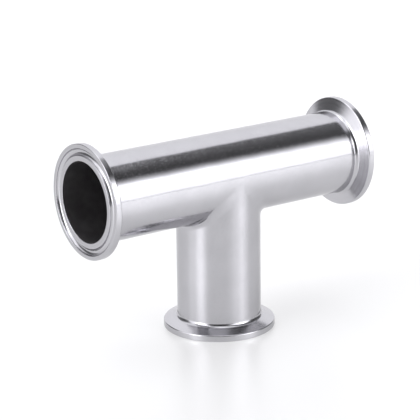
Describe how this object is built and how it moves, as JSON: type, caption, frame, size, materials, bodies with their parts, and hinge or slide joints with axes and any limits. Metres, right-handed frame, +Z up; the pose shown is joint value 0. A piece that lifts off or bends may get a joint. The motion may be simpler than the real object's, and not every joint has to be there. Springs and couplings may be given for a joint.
{
  "type": "sanitary clamp tee",
  "caption": "Polished stainless pipe tee with equal clamp ferrules on the run and the branch, joining hygienic tube lines with gaskets and ring clamps.",
  "frame": {"origin": "crossing of the run's axis and the branch's axis", "axes": "+X along the run, +Z up, branch pointing down along -Z"},
  "size_m": [0.14, 0.0506, 0.0953],
  "materials": {
    "stainless": "polished stainless steel, satin grain on the tube and bright turned ferrules"
  },
  "bodies": {
    "root": {"tee_body": "stainless"}
  },
  "joints": []
}
